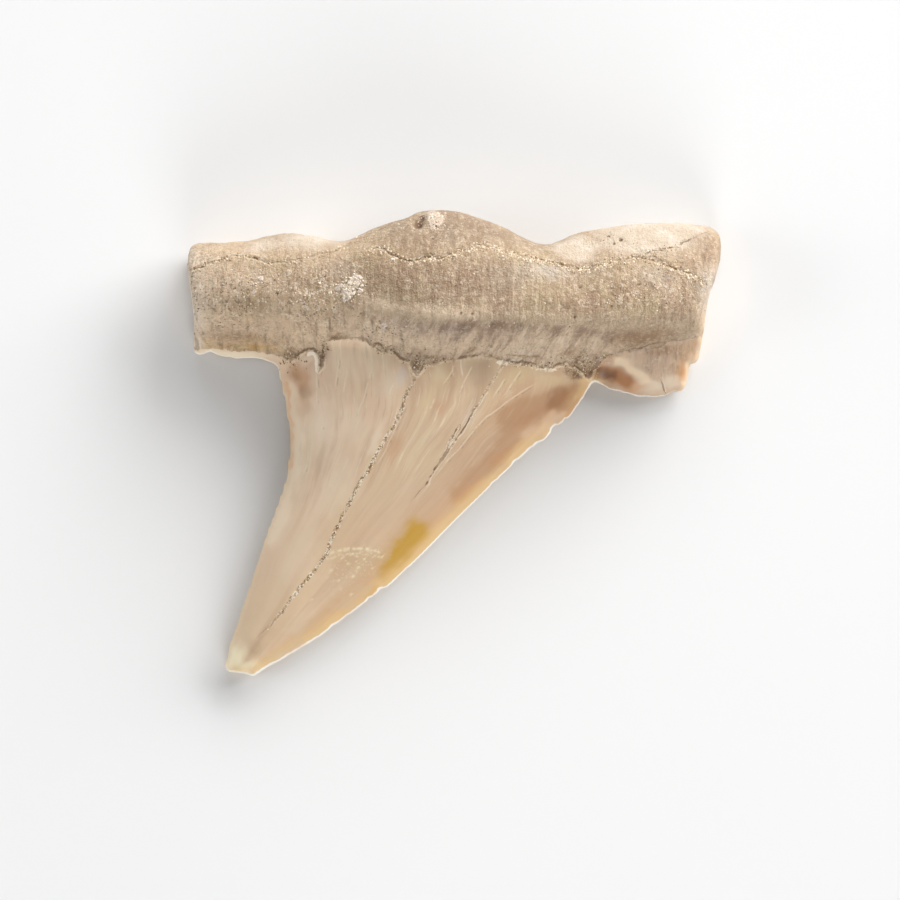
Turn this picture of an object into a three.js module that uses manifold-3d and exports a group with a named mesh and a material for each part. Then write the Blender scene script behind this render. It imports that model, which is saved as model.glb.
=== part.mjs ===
// A fossil shark tooth, lying on its flatter outer (labial) face with the bulging inner (lingual) face up.
// Millimetres. +X runs along the root towards its wider lobe, +Y from the tip of the crown to the root, and
// +Z up. The origin is under the middle of the tooth, on the surface it lies on.
// The tooth is one natural piece: a thick root, a slanting blade-shaped crown and two low heels beside the
// crown are lofted on their own, joined into one solid, and worn flat where it touches the ground.
import * as THREE from "three";
import { mergeVertices } from "three/addons/utils/BufferGeometryUtils.js";
import Module from "manifold-3d";

const ROOT_END_ROUNDING = 1.9;
const ROOT_END_BULGE = 0.66; // how far each rounded end stands out past the last section
const ROOT_END_LEAN_Y = [17.4, 12]; // between these the ends lean inwards
const ROOT_END_LEAN = { narrow: 0.12, wide: 0.36 }; // mm of X for each mm of Y
const ROOT_END_LEAN_POWER = 4; // how closely the lean keeps to the ends
const ROOT_WALL_HEIGHT = 0.45; // of the neck's height, where the wall beside the crown stands out
const BASAL_EDGE_HEIGHT = 0.38; // of the ridge's height
const UNDERSIDE_INSET = { basal: 1.7, crown: 1.1 }; // how far in its two long edges are rounded
const UNDERSIDE_ROUNDING = 0.25; // how far those edges stand above the underside's middle
const ROOT_RINGS = 38;
const ROOT_RING_POINTS = 32;
const END_RINGS = 3;

const CROWN_RINGS = 34;
const CROWN_FACE_POINTS = 18;
const CROWN_FACE_DEPTH = 1.75; // how far the outer face bulges below the cutting edges
const CROWN_THICKNESS = [7.5, 7.4, 7.1, 6.5, 5.7, 4.7, 3.7, 2.6, 1.5]; // above the edges, from root to tip
const BLADE_FLATNESS = 2.3; // how wide the blade stays full across its middle
const BLADE_EDGE = 0.85; // how steeply it falls to its cutting edges

const HEEL_RINGS = 18;
const HEEL_RING_POINTS = 12;
const HEEL_LIP = { y: 0.5, z: 0.45 }; // from the heel's edge up its inner face
const HEEL_UNDERSIDE = { y: 1.2, z: 0.1, wall: -0.2 }; // where it comes down to the ground

const WELD_DISTANCE = 1e-4;
const WEAR_BOX = { width: 80, depth: 5 }; // what lies below the ground plane is worn away

const spline = (points) =>
  new THREE.CatmullRomCurve3(
    points.map((p) => new THREE.Vector3(...p)),
    false,
    "centripetal",
  );

const closedSpline = (points) => new THREE.CatmullRomCurve3(points, true, "centripetal");

// Skins a row of rings, each a closed list of as many points, and closes both ends with a fan.
function loft(rings) {
  const around = rings[0].length;
  const positions = rings.flat().flatMap((p) => [p.x, p.y, p.z]);
  const index = [];
  for (let r = 0; r < rings.length - 1; r++) {
    for (let i = 0; i < around; i++) {
      const a = r * around + i;
      const b = r * around + ((i + 1) % around);
      index.push(a, a + around, b, b, a + around, b + around);
    }
  }
  for (const [r, flip] of [
    [0, false],
    [rings.length - 1, true],
  ]) {
    const middle = new THREE.Vector3();
    rings[r].forEach((p) => middle.addScaledVector(p, 1 / around));
    const centre = positions.push(middle.x, middle.y, middle.z) / 3 - 1;
    for (let i = 0; i < around; i++) {
      const a = r * around + i;
      const b = r * around + ((i + 1) % around);
      index.push(...(flip ? [b, a, centre] : [a, b, centre]));
    }
  }
  const geometry = new THREE.BufferGeometry();
  geometry.setAttribute("position", new THREE.Float32BufferAttribute(positions, 3));
  geometry.setIndex(index);
  return geometry;
}

// Root, as sections across it from the narrow lobe to the wide one. Each row is
// [x, low, neck, crest, ridge, high] in Y, then the heights [neck, crest, ridge, underside]:
// low is the wall beside the crown, the neck is the hollow over it, the crest is the highest line of the
// bulge, the ridge is where the inner face turns into the basal face, and high is the basal edge.
const ROOT_SECTIONS = [
  { x: -24.45, y: [9.0, 10.3, 12.8, 16.0, 18.7], z: [4.6, 6.9, 6.3, -0.3] },
  { x: -20.5, y: [9.2, 10.3, 12.7, 16.8, 18.6], z: [5.2, 8.3, 7.4, -0.3] },
  { x: -16.0, y: [8.6, 9.8, 12.4, 17.0, 19.3], z: [6.0, 9.5, 8.4, -0.1] },
  { x: -11.0, y: [7.0, 9.2, 12.1, 17.1, 18.6], z: [7.8, 10.8, 9.6, 0.3] },
  { x: -7.0, y: [6.0, 8.8, 11.9, 17.4, 19.9], z: [9.2, 12.1, 10.7, 0.7] },
  { x: -3.0, y: [5.6, 8.5, 11.7, 17.6, 21.3], z: [9.9, 12.9, 11.2, 0.9] },
  { x: 0.0, y: [5.6, 8.4, 11.6, 17.6, 21.3], z: [10.0, 13.0, 11.2, 0.9] },
  { x: 4.0, y: [5.8, 8.3, 11.5, 17.2, 19.9], z: [9.6, 12.6, 10.7, 0.8] },
  { x: 8.3, y: [6.2, 8.2, 11.4, 16.6, 18.3], z: [8.4, 11.7, 9.7, 0.5] },
  { x: 12.0, y: [6.8, 8.4, 11.4, 16.5, 19.4], z: [6.3, 10.6, 8.7, 0.1] },
  { x: 17.0, y: [7.6, 9.0, 11.5, 16.6, 20.3], z: [5.4, 9.4, 8.0, -0.2] },
  { x: 24.4, y: [8.6, 9.9, 11.8, 15.8, 19.9], z: [4.6, 7.2, 6.6, -0.3] },
];

function rootSectionPoints({ x, y, z }) {
  const [low, neck, crest, ridge, high] = y;
  const [zNeck, zCrest, zRidge, zUnder] = z;
  const [leanStart, leanEnd] = ROOT_END_LEAN_Y;
  const lean = x < 0 ? ROOT_END_LEAN.narrow : ROOT_END_LEAN.wide;
  const end = x < 0 ? ROOT_SECTIONS[0].x : ROOT_SECTIONS[ROOT_SECTIONS.length - 1].x;
  const inwards = -lean * (x / end) ** ROOT_END_LEAN_POWER * Math.sign(x);
  const section = [
    [low, ROOT_WALL_HEIGHT * zNeck],
    [neck, zNeck],
    [crest, zCrest],
    [ridge, zRidge],
    [high, BASAL_EDGE_HEIGHT * zRidge],
    [high - UNDERSIDE_INSET.basal, zUnder + UNDERSIDE_ROUNDING],
    [(low + high) / 2, zUnder],
    [low + UNDERSIDE_INSET.crown, zUnder + UNDERSIDE_ROUNDING],
  ];
  return section.map(([py, pz]) => {
    const below = leanStart - Math.min(leanStart, Math.max(leanEnd, py));
    return [x + inwards * below, py, pz];
  });
}

function rootGeometry() {
  const sections = ROOT_SECTIONS.map(rootSectionPoints);
  const rails = sections[0].map((_, k) => spline(sections.map((s) => s[k])));
  const ringAt = (t) => {
    const corners = rails.map((rail) => rail.getPoint(t));
    return closedSpline(corners).getPoints(ROOT_RING_POINTS).slice(1);
  };
  // An end is the last section drawn in towards its own middle as it moves out, like a rounded edge.
  const roundedEnd = (ring, outwards) => {
    const middle = new THREE.Vector3();
    ring.forEach((p) => middle.addScaledVector(p, 1 / ring.length));
    return Array.from({ length: END_RINGS }, (_, i) => {
      const turn = (((i + 1) / END_RINGS) * Math.PI) / 2;
      return ring.map((p) => {
        const out = p.clone().sub(middle);
        const keep = 1 - (ROOT_END_ROUNDING * (1 - Math.cos(turn))) / out.length();
        const moved = middle.clone().addScaledVector(out, keep);
        moved.x += outwards * ROOT_END_BULGE * Math.sin(turn);
        return moved;
      });
    });
  };
  const rings = Array.from({ length: ROOT_RINGS + 1 }, (_, i) => ringAt(i / ROOT_RINGS));
  return loft([...roundedEnd(rings[0], -1).reverse(), ...rings, ...roundedEnd(rings[ROOT_RINGS], 1)]);
}

// Crown: a blade between its two cutting edges, hollow-sided towards the narrow lobe, long and straighter
// towards the wide one. Both edges run from inside the root down to the blunt tip.
const HOLLOW_EDGE = spline([
  [-17.3, 9.6, 1.9],
  [-16.4, 5.6, 1.7],
  [-15.65, 1.6, 1.6],
  [-15.5, -1.2, 1.5],
  [-16.25, -5.0, 1.4],
  [-18.1, -9.9, 1.3],
  [-19.8, -15.2, 1.2],
  [-21.1, -18.9, 1.15],
  [-21.6, -21.1, 1.1],
]);
const LONG_EDGE = spline([
  [15.4, 8.2, 1.9],
  [12.9, 5.2, 1.7],
  [9.65, 1.4, 1.6],
  [5.3, -2.45, 1.5],
  [1.0, -6.6, 1.4],
  [-4.35, -11.95, 1.3],
  [-10.55, -16.8, 1.2],
  [-15.6, -20.25, 1.15],
  [-19.2, -21.75, 1.1],
]);
const THICKNESS = spline(CROWN_THICKNESS.map((z, i) => [i, 0, z]));

// The blade's section runs full in the middle and falls to a sharp edge at both sides.
const bladeHeight = (side) => (1 - Math.abs(2 * side - 1) ** BLADE_FLATNESS) ** BLADE_EDGE;

function crownGeometry() {
  const rings = [];
  for (let r = 0; r <= CROWN_RINGS; r++) {
    const t = r / CROWN_RINGS;
    const hollow = HOLLOW_EDGE.getPoint(t);
    const long = LONG_EDGE.getPoint(t);
    const thickness = THICKNESS.getPoint(t).z;
    const face = (side, height) => {
      const p = hollow.clone().lerp(long, side);
      p.z += height * bladeHeight(side);
      return p;
    };
    const sides = Array.from({ length: CROWN_FACE_POINTS }, (_, i) => i / CROWN_FACE_POINTS);
    const inner = sides.map((side) => face(side, thickness));
    const outer = sides.map((side) => face(1 - side, -CROWN_FACE_DEPTH));
    rings.push([...inner, ...outer]);
  }
  return loft(rings);
}

// Heels: the low enamel shoulders beside the crown. Each row is [x, y of the edge, height of the edge,
// y where the heel's inner face meets the root wall, height there].
const NARROW_HEEL = [
  [-24.55, 8.25, 1.2, 10.4, 2.6],
  [-22.6, 8.0, 1.2, 10.2, 2.8],
  [-20.0, 7.85, 1.2, 10.0, 3.0],
  [-17.4, 7.4, 1.3, 9.8, 3.2],
  [-15.2, 6.2, 1.4, 9.4, 3.6],
];
const WIDE_HEEL = [
  [12.0, 5.6, 1.5, 9.4, 5.0],
  [14.2, 5.0, 1.4, 9.4, 4.6],
  [17.0, 4.1, 1.3, 9.6, 4.4],
  [19.0, 3.9, 1.2, 9.7, 4.3],
  [20.6, 4.5, 1.2, 9.8, 4.2],
  [21.6, 5.4, 1.2, 10.0, 4.0],
  [22.2, 7.2, 1.2, 10.2, 3.6],
  [22.8, 8.8, 1.3, 10.4, 3.2],
];

function heelGeometry(rows) {
  const edge = spline(rows.map(([x, y, z]) => [x, y, z]));
  const wall = spline(rows.map(([x, , , y, z]) => [x, y, z]));
  const rings = [];
  for (let r = 0; r <= HEEL_RINGS; r++) {
    const e = edge.getPoint(r / HEEL_RINGS);
    const w = wall.getPoint(r / HEEL_RINGS);
    const section = [
      new THREE.Vector3(e.x, e.y, e.z),
      new THREE.Vector3(e.x, e.y + HEEL_LIP.y, e.z + HEEL_LIP.z),
      new THREE.Vector3(w.x, w.y, w.z),
      new THREE.Vector3(w.x, w.y, HEEL_UNDERSIDE.wall),
      new THREE.Vector3(e.x, e.y + HEEL_UNDERSIDE.y, HEEL_UNDERSIDE.z),
    ];
    rings.push(closedSpline(section).getPoints(HEEL_RING_POINTS).slice(1));
  }
  return loft(rings);
}

function groundGeometry() {
  const box = new THREE.BoxGeometry(WEAR_BOX.width, WEAR_BOX.width, WEAR_BOX.depth);
  box.translate(0, 0, -WEAR_BOX.depth / 2);
  return box;
}

const wasm = await Module();
wasm.setup();

function toSolid(geometry) {
  const bare = geometry.clone();
  bare.deleteAttribute("normal");
  bare.deleteAttribute("uv");
  const merged = mergeVertices(bare, WELD_DISTANCE);
  const mesh = new wasm.Mesh({
    numProp: 3,
    vertProperties: merged.attributes.position.array,
    triVerts: new Uint32Array(merged.index.array),
  });
  return new wasm.Manifold(mesh);
}

function toGeometry(solid) {
  const mesh = solid.getMesh();
  const geometry = new THREE.BufferGeometry();
  geometry.setAttribute("position", new THREE.BufferAttribute(mesh.vertProperties, 3));
  geometry.setIndex(new THREE.BufferAttribute(mesh.triVerts, 1));
  return geometry;
}

const parts = [rootGeometry(), crownGeometry(), heelGeometry(NARROW_HEEL), heelGeometry(WIDE_HEEL)];
const solids = parts.map(toSolid);
const joined = solids.reduce((whole, piece) => whole.add(piece));
const geometry = toGeometry(joined.subtract(toSolid(groundGeometry())));

geometry.computeBoundingBox();
const middle = geometry.boundingBox.getCenter(new THREE.Vector3());
geometry.translate(-middle.x, -middle.y, 0);
geometry.computeVertexNormals();

const tooth = new THREE.Mesh(
  geometry,
  new THREE.MeshStandardMaterial({ color: 0xc9ab88, roughness: 0.55, metalness: 0 }),
);
tooth.name = "tooth";

const group = new THREE.Group();
group.add(tooth);
export default group;
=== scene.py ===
import math
import random

import bmesh
import bpy
import numpy as np
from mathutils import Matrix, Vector
from mathutils.bvhtree import BVHTree
from mathutils.kdtree import KDTree


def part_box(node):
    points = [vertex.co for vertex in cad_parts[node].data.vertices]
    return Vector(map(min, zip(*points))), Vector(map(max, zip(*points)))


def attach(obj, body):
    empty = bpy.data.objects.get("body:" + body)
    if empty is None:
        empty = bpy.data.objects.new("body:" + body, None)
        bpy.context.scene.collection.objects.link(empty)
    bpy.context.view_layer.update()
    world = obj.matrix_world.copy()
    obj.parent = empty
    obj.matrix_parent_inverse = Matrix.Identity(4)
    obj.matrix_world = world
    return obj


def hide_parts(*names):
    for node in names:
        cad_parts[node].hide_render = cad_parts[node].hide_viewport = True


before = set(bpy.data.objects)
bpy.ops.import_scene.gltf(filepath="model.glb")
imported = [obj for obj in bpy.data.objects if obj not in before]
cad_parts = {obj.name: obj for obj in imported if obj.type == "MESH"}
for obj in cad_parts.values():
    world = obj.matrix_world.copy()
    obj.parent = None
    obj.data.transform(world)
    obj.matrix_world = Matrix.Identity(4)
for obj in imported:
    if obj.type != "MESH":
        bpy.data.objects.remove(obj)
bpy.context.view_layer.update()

# ---- The tooth ------------------------------------------------------------------------------
# One piece, grown as one: a root of porous, sandy grey-brown bone, and a crown of dentine under a thin coat
# of cream to pink-brown enamel, cracked and chipped in the sediment that turned it to stone.

# An even skin is laid over the solid, then carved with its cracks, folds, pits, chips and rough bone. Places
# on it are (u, v, height) in hundredths of its width, from its narrow end, its tip and the ground.
low, high = (np.array(corner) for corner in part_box("tooth"))
UNIT = (high[0] - low[0]) / 100
SKIN_SIZE = 0.74 * UNIT
EVENING_ROUNDS = 18
FINE_ROUNDS = 4
FINE_FACING = 0.3  # faces turned up more than this are split finer
FINE_REACH = 0.55  # and finer again this near to a crack or to the enamel's upper edge


def to_place(points):
    return (points - low) / UNIT


def from_place(places):
    return places * UNIT + low


def step(start, end, value):
    """0 before start, 1 after end, and smooth between them; start may be the larger."""
    t = np.clip((value - start) / (end - start), 0, 1)
    return t * t * (3 - 2 * t)


def bump(value, width):
    """1 where value is 0, falling away over width on both sides."""
    return np.exp(-((value / width) ** 2))


def read_off(table, value):
    """Reads a table of pairs at a value of their first number, in straight lines between them."""
    return np.interp(value, *np.array(table).T)


def corner_value(cell, seed):
    """A repeatable random number from 0 to 1 for each whole-number cell."""
    mixed = cell[:, 0] * 73856093 ^ cell[:, 1] * 19349663 ^ cell[:, 2] * 83492791 ^ seed * 2654435761
    mixed = ((mixed ^ (mixed >> 13)) * 1274126177) & 0x7FFFFFFF
    return ((mixed ^ (mixed >> 15)) & 0xFFFF) / 0xFFFF


def waves(places, size, seed, octaves=1):
    """Smooth random hills from -1 to 1 with features of that size, with finer ones at half strength."""
    size = np.broadcast_to(np.asarray(size, float), (3,))
    total = np.zeros(len(places))
    reach = 0
    for octave in range(octaves):
        scaled = places / size * 2**octave + 31.7 * octave
        cell = np.floor(scaled).astype(np.int64)
        part = scaled - cell
        part = part * part * (3 - 2 * part)
        layer = np.zeros(len(places))
        for corner in np.ndindex(2, 2, 2):
            weight = np.prod(np.where(np.array(corner) == 1, part, 1 - part), axis=1)
            layer += weight * corner_value(cell + corner, seed + octave)
        total += (2 * layer - 1) / 2**octave
        reach += 1 / 2**octave
    return total / reach


def drift(places, size, reach, seed):
    """The same places, each pushed up to that reach sideways, so that outlines drawn on them are ragged."""
    pushes = [waves(places, size, seed, 2), waves(places, size, seed + 5, 2), np.zeros(len(places))]
    return places + reach * np.stack(pushes, axis=1)


def smooth_route(points, rounds=2):
    """The same route with its corners cut, so that it bends softly."""
    route = np.array(points, float)
    for _ in range(rounds):
        near, far = route[:-1], route[1:]
        cut = np.stack([near * 0.75 + far * 0.25, near * 0.25 + far * 0.75], axis=1).reshape(-1, 2)
        route = np.concatenate([route[:1], cut, route[-1:]])
    return route


def from_route(places, route):
    """From above, how far each place is from a route, below 0 on its right, and how far along it, 0 to 1."""
    lengths = np.linalg.norm(np.diff(route, axis=0), axis=1)
    starts = np.concatenate([[0], np.cumsum(lengths)])
    best = np.full(len(places), np.inf)
    side = np.ones(len(places))
    along = np.zeros(len(places))
    for start, end, before, length in zip(route[:-1], route[1:], starts, lengths):
        offset = places[:, :2] - start
        run = (end - start) / length
        t = np.clip(offset @ run, 0, length)
        gap = np.linalg.norm(offset - t[:, None] * run, axis=1)
        nearer = gap < best
        best = np.where(nearer, gap, best)
        side = np.where(nearer, np.sign(run[0] * offset[:, 1] - run[1] * offset[:, 0]), side)
        along = np.where(nearer, (before + t) / starts[-1], along)
    return best * side, along


def spot(places, middle, radii, turn=0):
    """1 in the middle of an oval patch seen from above, fading out at its rim."""
    du, dv = places[:, 0] - middle[0], places[:, 1] - middle[1]
    cos, sin = math.cos(math.radians(turn)), math.sin(math.radians(turn))
    return np.exp(-(((du * cos + dv * sin) / radii[0]) ** 2) - ((dv * cos - du * sin) / radii[1]) ** 2)


def oval(places, middle, radii, strength=1, turn=0):
    return strength * spot(places, middle, radii, turn)


def strongest(places, ovals):
    """The strongest of some ovals: each has its middle and radii, and may have a strength and a turn."""
    return np.maximum.reduce([oval(places, *numbers) for numbers in ovals])


def read_all(items, name, width, kind=float):
    """One field of all the corners or edges of a mesh, in rows of that width."""
    values = np.empty(len(items) * width, dtype=kind)
    items.foreach_get(name, values)
    return values.reshape(-1, width)


def edges_of(mesh):
    return read_all(mesh.edges, "vertices", 2, np.int64)


def corners_of(mesh):
    return read_all(mesh.vertices, "co", 3)


def facing_of(mesh):
    mesh.update()
    return read_all(mesh.vertex_normals, "vector", 3)


def store(mesh, name, values):
    """Keeps a number for each corner of a mesh under a name, for its finish to read."""
    layer = mesh.attributes.new(name, "FLOAT", "POINT")
    layer.data.foreach_set("value", values.astype(np.float32))


def beside(ends, values):
    """For each corner of a mesh, the mean of the values at the corners joined to it by an edge."""
    total = np.bincount(ends[:, 0], values[ends[:, 1]], len(values))
    total += np.bincount(ends[:, 1], values[ends[:, 0]], len(values))
    return total / np.bincount(ends.ravel(), minlength=len(values))


def even_out(mesh, rounds, inward=0.5, outward=-0.53):
    """Smooths away facets without shrinking the form: a pull towards the neighbours, then a push back."""
    ends = edges_of(mesh)
    points = corners_of(mesh)
    for strength in [inward, outward] * rounds:
        around = np.stack([beside(ends, column) for column in points.T], axis=1)
        points = points + strength * (around - points)
    mesh.vertices.foreach_set("co", points.ravel())
    mesh.update()


def put_in_scene(name, data):
    made = bpy.data.objects.new(name, data)
    bpy.context.scene.collection.objects.link(made)
    return made


def skin_over(node):
    """An even quad skin over a node's solid, as a new mesh."""
    shell = put_in_scene("skin", node.data.copy())
    remesh = shell.modifiers.new("skin", "REMESH")
    remesh.mode = "VOXEL"
    remesh.voxel_size = SKIN_SIZE
    evaluated = shell.evaluated_get(bpy.context.evaluated_depsgraph_get())
    mesh = bpy.data.meshes.new_from_object(evaluated)
    bpy.data.objects.remove(shell)
    return mesh


def split_finer(mesh, wanted):
    """Splits each face whose corners are all wanted into four."""
    work = bmesh.new()
    work.from_mesh(mesh)
    faces = [face for face in work.faces if all(wanted[corner.index] for corner in face.verts)]
    edges = list({edge for face in faces for edge in face.edges})
    bmesh.ops.subdivide_edges(work, edges=edges, cuts=1, use_grid_fill=True)
    bmesh.ops.triangulate(work, faces=[face for face in work.faces if len(face.verts) > 4])
    work.to_mesh(mesh)
    work.free()


# The enamel's ragged upper edge on the inner face, from the narrow heel to the wide one, and its even one on
# the hidden outer face.
ENAMEL_LINE = [
    (-2, 60.9), (1.7, 60.9), (7.3, 60.9), (12.9, 60.5), (18.1, 59.4), (19.8, 58.5), (20.9, 59.3),
    (22.2, 60.2), (23.7, 60.6), (25, 59.6), (25.2, 57.9), (24.9, 56.3), (25.8, 57.6), (26, 61.4),
    (27.5, 62.2), (30.1, 62.4), (32.1, 62.2), (33.8, 62.1), (35, 60.7), (36.3, 61.3), (37.6, 60),
    (38.7, 60.4), (40, 58.7), (41.9, 58.1), (42.4, 56.6), (43.2, 55.5), (43.9, 56.1), (45, 57.8),
    (46.5, 57.8), (48, 58.3), (50.7, 58.7), (52.7, 58.9), (55, 59.4), (57.8, 58.9), (59.4, 58.3),
    (61.9, 57.9), (63.7, 57.8), (66.2, 57), (68, 56.8), (69.3, 57.6), (71.2, 57.9), (72.7, 57.4),
    (74, 56.3), (75.1, 55.3), (76.3, 57.2), (77.4, 58.3), (79.6, 59.3), (81.1, 59.8), (84.9, 60.4),
    (88.6, 60.9), (90.8, 61.9), (94.2, 62.4), (96.4, 63.2), (102, 64),
]
UNDER_LINE = [(0, 60.9), (18, 59), (30, 61), (47, 62.5), (64, 61), (76, 57.5), (97, 63.3)]
# Where the root's inner face ends in a low crest above the sunken neck.
CREST = [
    (-2, 66), (2, 66), (18, 65.8), (28, 67), (33.5, 68), (38, 67), (43.7, 66), (52, 65.9), (60, 65.8),
    (70, 65.1), (77, 64.3), (102, 64.2),
]
# The crown's two cutting edges from above, tip first: the hollow one and the long one.
HOLLOW_EDGE = [
    (8.6, 0.6), (7.5, 1.2), (7.7, 3.4), (9.2, 7.9), (10.7, 12.3), (13.1, 21.3), (14.6, 25.8), (16.8, 30.3),
    (18.3, 34.8), (19.1, 39.3), (19.4, 43.7), (19.1, 48.2), (18.1, 52.7), (17, 57.2),
]
LONG_EDGE = [
    (8.6, 0.4), (12.9, 0), (19.8, 3.4), (26.4, 7.9), (35.3, 14.6), (41.1, 19.1), (50.3, 28), (59.3, 37),
    (66, 43.4), (69.2, 46), (73.8, 50.5), (75.2, 52.7), (76, 55),
]
# Bites out of the thin edges: middle, radius and how far it is pushed in.
NOTCHES = [
    ((69.2, 45.8), 0.6, (-0.15, 0.25)), ((73.8, 49.6), 0.6, (-0.2, 0.15)),
    ((65.8, 42.8), 0.6, (-0.12, 0.22)), ((61.6, 39.4), 0.6, (-0.1, 0.18)), ((57.6, 35.4), 0.5, (-0.1, 0.2)),
    ((36.6, 15.2), 0.6, (-0.2, 0.35)), ((34.4, 13.6), 0.5, (-0.1, 0.25)), ((27.6, 8.6), 0.5, (-0.1, 0.15)),
    ((11.6, 0), 0.5, (0, 0.3)), ((13.2, 22.5), 0.5, (0.15, 0)), ((94.6, 57.6), 0.8, (-0.4, 0.2)),
    ((91.4, 52.4), 0.8, (0, 0.3)), ((86.2, 51.2), 0.6, (0, 0.25)), ((97, 58.8), 0.5, (-0.3, 0.2)),
    ((4.4, 59.4), 0.9, (0, 0.4)), ((1, 60), 0.6, (0.2, 0.2)), ((93.2, 54.6), 0.5, (-0.25, 0)),
]
NIBBLES = 34  # smaller bites, at random along the long edge
NIBBLE_SEED = 3
# Where the outline bulges or draws in, broadly: middle, radii and how far it is moved.
PULLS = [
    ((0, 70), (3, 8), (0.45, 0)), ((0, 62), (3, 3), (0.3, 0)), ((1, 66), (2, 4), (0.3, 0)),
    ((1, 81), (3, 3), (0.5, -0.5)), ((1.4, 81), (1.6, 1.4), (0.3, -0.2)), ((6, 81.2), (2.4, 2), (0, -0.2)),
    ((12, 82), (12, 3), (0, -0.3)), ((11.6, 81.6), (2, 2), (0, -0.2)), ((23, 82.2), (4, 2), (0, 0.35)),
    ((29.4, 81.6), (2.6, 2), (0, -0.35)), ((33, 80.5), (5, 3), (0, -0.3)),
    ((41, 85.8), (1.6, 2), (0.2, -0.35)), ((58, 82), (8, 3), (0, 0.3)),
    ((60.4, 83.6), (1.2, 1.4), (0, 0.2)), ((66, 82), (5, 3), (0, -0.2)), ((67.6, 80.8), (3, 2), (0, -0.3)),
    ((82, 84.5), (8, 2.5), (0, -0.3)), ((93, 84.6), (4, 2), (0, 0.3)), ((99, 84), (3, 2.5), (-0.1, -0.2)),
    ((99.6, 83.4), (1.4, 1.4), (-0.35, -0.3)), ((100, 76.6), (2, 5), (0.3, 0)),
    ((97.4, 67), (2.4, 5), (-0.25, 0)), ((95.4, 60.6), (1.6, 2.2), (0.8, -0.3)),
    ((95.6, 58.6), (1.6, 1), (0.5, -0.6)), ((92.4, 54), (1.8, 1.8), (0.5, -0.7)),
    ((84, 52.4), (8, 1.6), (0, -0.3)), ((80, 53.8), (2, 1.4), (0, -0.35)),
    ((76.2, 53.4), (1, 1.1), (-0.1, 0.9)), ((73, 51.5), (4, 4), (0.35, -0.35)),
    ((71, 47.8), (2.2, 2.2), (0.4, -0.45)), ((67, 44), (1.8, 1.8), (0.3, -0.35)),
    ((38, 16.6), (5, 3), (0.15, -0.2)), ((8, 59.4), (2.4, 1.2), (0, -0.3)), ((4.8, 60), (1.2, 1), (0, 0.2)),
    ((17, 57), (3, 3), (0.1, -0.25)), ((20, 36), (3, 8), (0.3, 0)), ((14, 16), (4, 14), (0.35, 0)),
    ((8.6, 8), (2.2, 4.4), (0.4, 0)), ((7.6, 2.6), (1.4, 2), (0.3, 0)), ((12, 0), (7, 4), (0.1, -0.5)),
    ((12.8, 0.2), (1.3, 1.4), (0.05, -0.5)), ((8.2, 0.9), (1.1, 1.1), (-0.3, -0.3)),
    ((9, 59.6), (9, 2.5), (0, -0.55)), ((2.6, 60), (1.4, 1), (0, -0.35)),
]
# Cracks and folds, as routes from above.
LONG_CRACK = [
    (43.3, 55.4), (41.1, 52.1), (40.5, 49.3), (39.1, 46.5), (37.7, 44.2), (36.3, 41.9), (34.4, 38.1),
    (33, 36.3), (31.6, 33.9), (30.7, 32.1), (29.3, 29.3), (27.9, 26.4), (26.9, 24.1), (26.4, 22.4),
    (24.6, 19.9), (22.7, 17.6), (20.8, 15.5), (19, 12.9), (17.1, 10.6), (15, 8.4), (12.8, 6.6),
]
SHORT_CRACK = [
    (59.6, 58.1), (56.8, 53.7), (54.6, 49.9), (51.7, 45.4), (49.3, 41.9), (47.5, 39.1), (45.6, 36.3),
    (43.7, 33.9), (41.9, 31.6),
]
SIDE_CRACK = [(50.5, 45.6), (49.4, 43.2), (47.9, 40.2), (46.4, 37.8)]
FOLD_NARROW = [
    (0.6, 75.4), (2.4, 75.8), (4.4, 76.8), (7, 77.4), (9, 78.2), (12.2, 77.8), (14, 77.1), (16.2, 76.6),
    (19, 76.8), (22.2, 77.6), (25.6, 78.4), (27.6, 78.8), (30, 80.3), (32.2, 81.5), (35.3, 82.6),
    (38.3, 83.6), (41, 83.6), (43, 83.2),
]
FOLD_MIDDLE = [
    (33, 78), (35.6, 79.8), (37.3, 79.2), (39, 78), (41.3, 77), (43.3, 76.8), (45, 77.8), (47.3, 77.2),
    (49, 78), (51.2, 78.8), (53.4, 79.4), (55, 80), (57, 79.6), (59.2, 78.8), (61.4, 78.3), (64, 77.6),
    (67, 77), (69.6, 76.6), (72.4, 75.5), (75.2, 75.5), (78, 76.6), (80.7, 77), (83, 77.8), (85.2, 77.8),
    (87.3, 77.3), (90, 76.2), (92.4, 75.3), (95, 74.2), (97.4, 72.6),
]
FOLD_WIDE = [
    (84.8, 78.4), (87, 78.7), (90, 79.2), (92, 79.9), (93.6, 80.9), (95.2, 81.6), (97.3, 82.6),
]
HEEL_CRACK = [
    (76.8, 58.7), (78.6, 59.2), (80.2, 60), (82, 60), (83.8, 60.7), (85.4, 60.6), (86.8, 61.4), (89, 61.6),
    (90.6, 62.3), (92.4, 62.1), (95.4, 62.9),
]
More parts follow.
